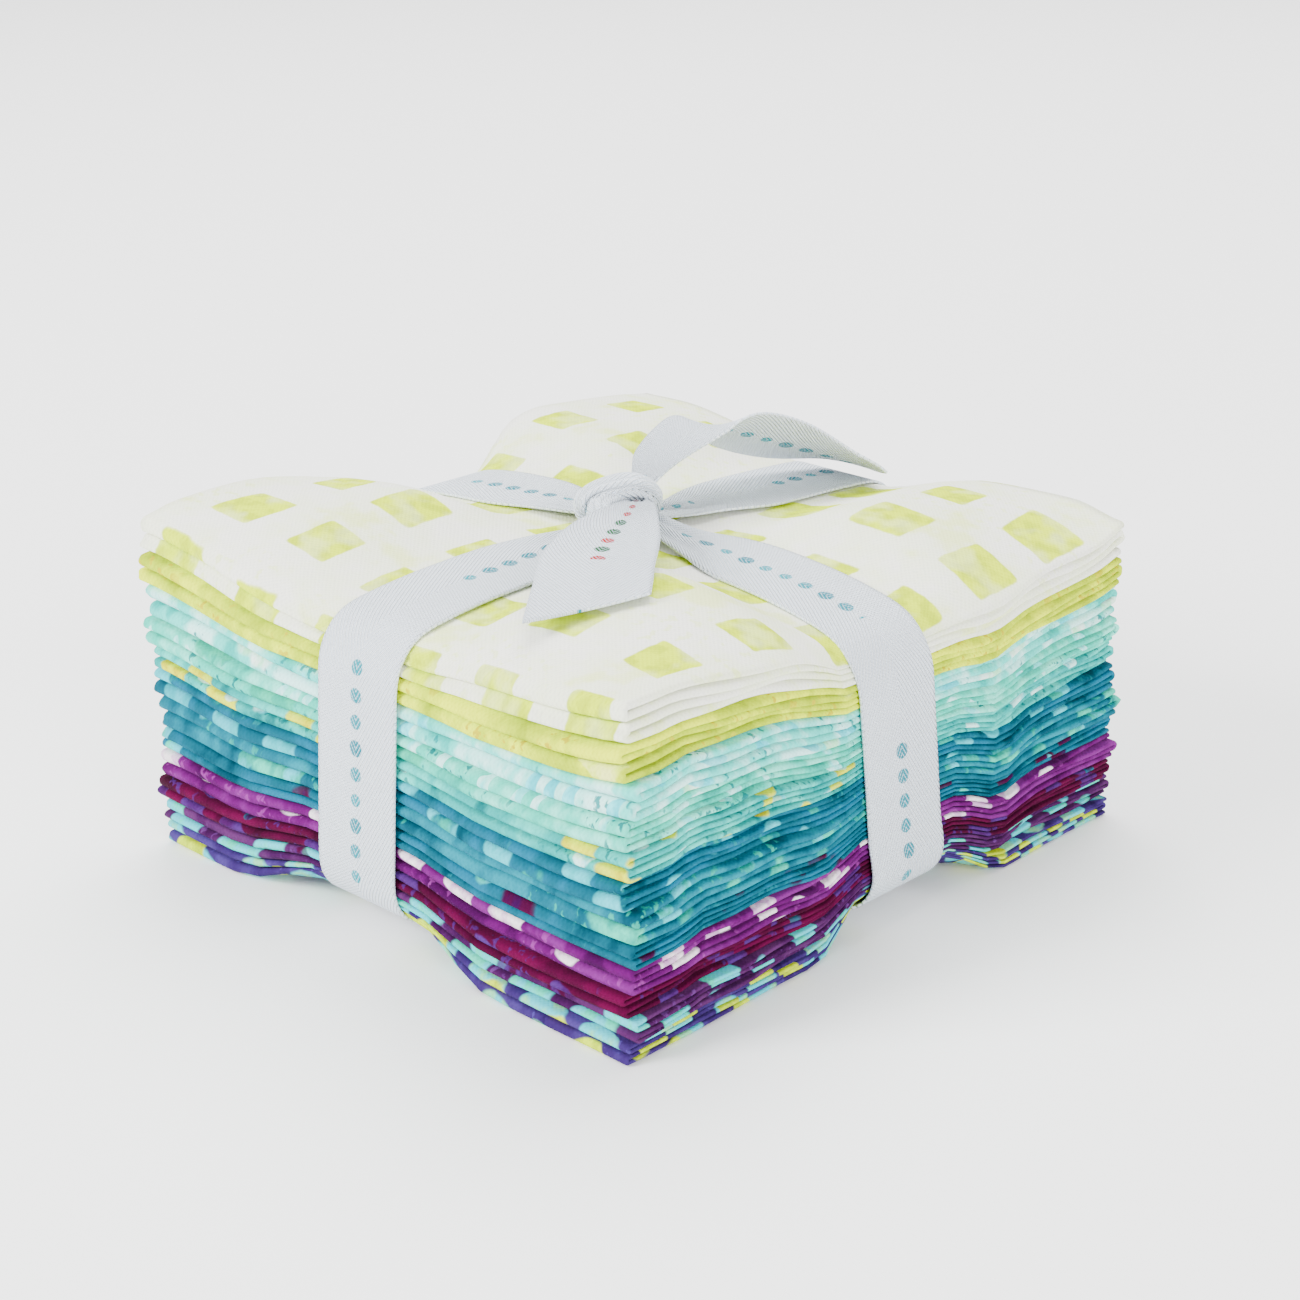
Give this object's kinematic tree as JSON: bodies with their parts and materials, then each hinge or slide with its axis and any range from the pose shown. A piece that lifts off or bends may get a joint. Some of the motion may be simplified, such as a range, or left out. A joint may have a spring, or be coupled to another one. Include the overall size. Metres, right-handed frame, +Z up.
{
  "type": "fat quarter bundle",
  "caption": "Stack of folded cotton fat quarters in different prints, tied both ways with a twill ribbon knotted on top.",
  "frame": {"origin": "centre of the bounding box at the surface that the stack stands on", "axes": "+Z up, through the layers; +Y along the longer side of the folded pieces, away from their folds; +X towards the layer ends"},
  "size_m": [0.1168, 0.1279, 0.0719],
  "materials": {
    "fat_quarter_01": "white cotton with lime squares",
    "fat_quarter_02": "lime batik cotton",
    "fat_quarter_03": "pale aqua batik cotton",
    "fat_quarter_04": "mint batik cotton",
    "fat_quarter_05": "aqua batik cotton with yellow ovals",
    "fat_quarter_06": "teal batik cotton with pale leaves",
    "fat_quarter_07": "turquoise batik cotton with mint leaves",
    "fat_quarter_08": "blue-green batik cotton",
    "fat_quarter_09": "magenta batik cotton with white ovals",
    "fat_quarter_10": "crimson batik cotton",
    "fat_quarter_11": "plum batik cotton with mint leaves",
    "fat_quarter_12": "indigo batik cotton with lime ovals",
    "ribbon": "white herringbone twill tape"
  },
  "bodies": {
    "root": {"fat_quarter_01": "fat_quarter_01", "fat_quarter_02": "fat_quarter_02", "fat_quarter_03": "fat_quarter_03", "fat_quarter_04": "fat_quarter_04", "fat_quarter_05": "fat_quarter_05", "fat_quarter_06": "fat_quarter_06", "fat_quarter_07": "fat_quarter_07", "fat_quarter_08": "fat_quarter_08", "fat_quarter_09": "fat_quarter_09", "fat_quarter_10": "fat_quarter_10", "fat_quarter_11": "fat_quarter_11", "fat_quarter_12": "fat_quarter_12", "ribbon": "ribbon"}
  },
  "joints": []
}
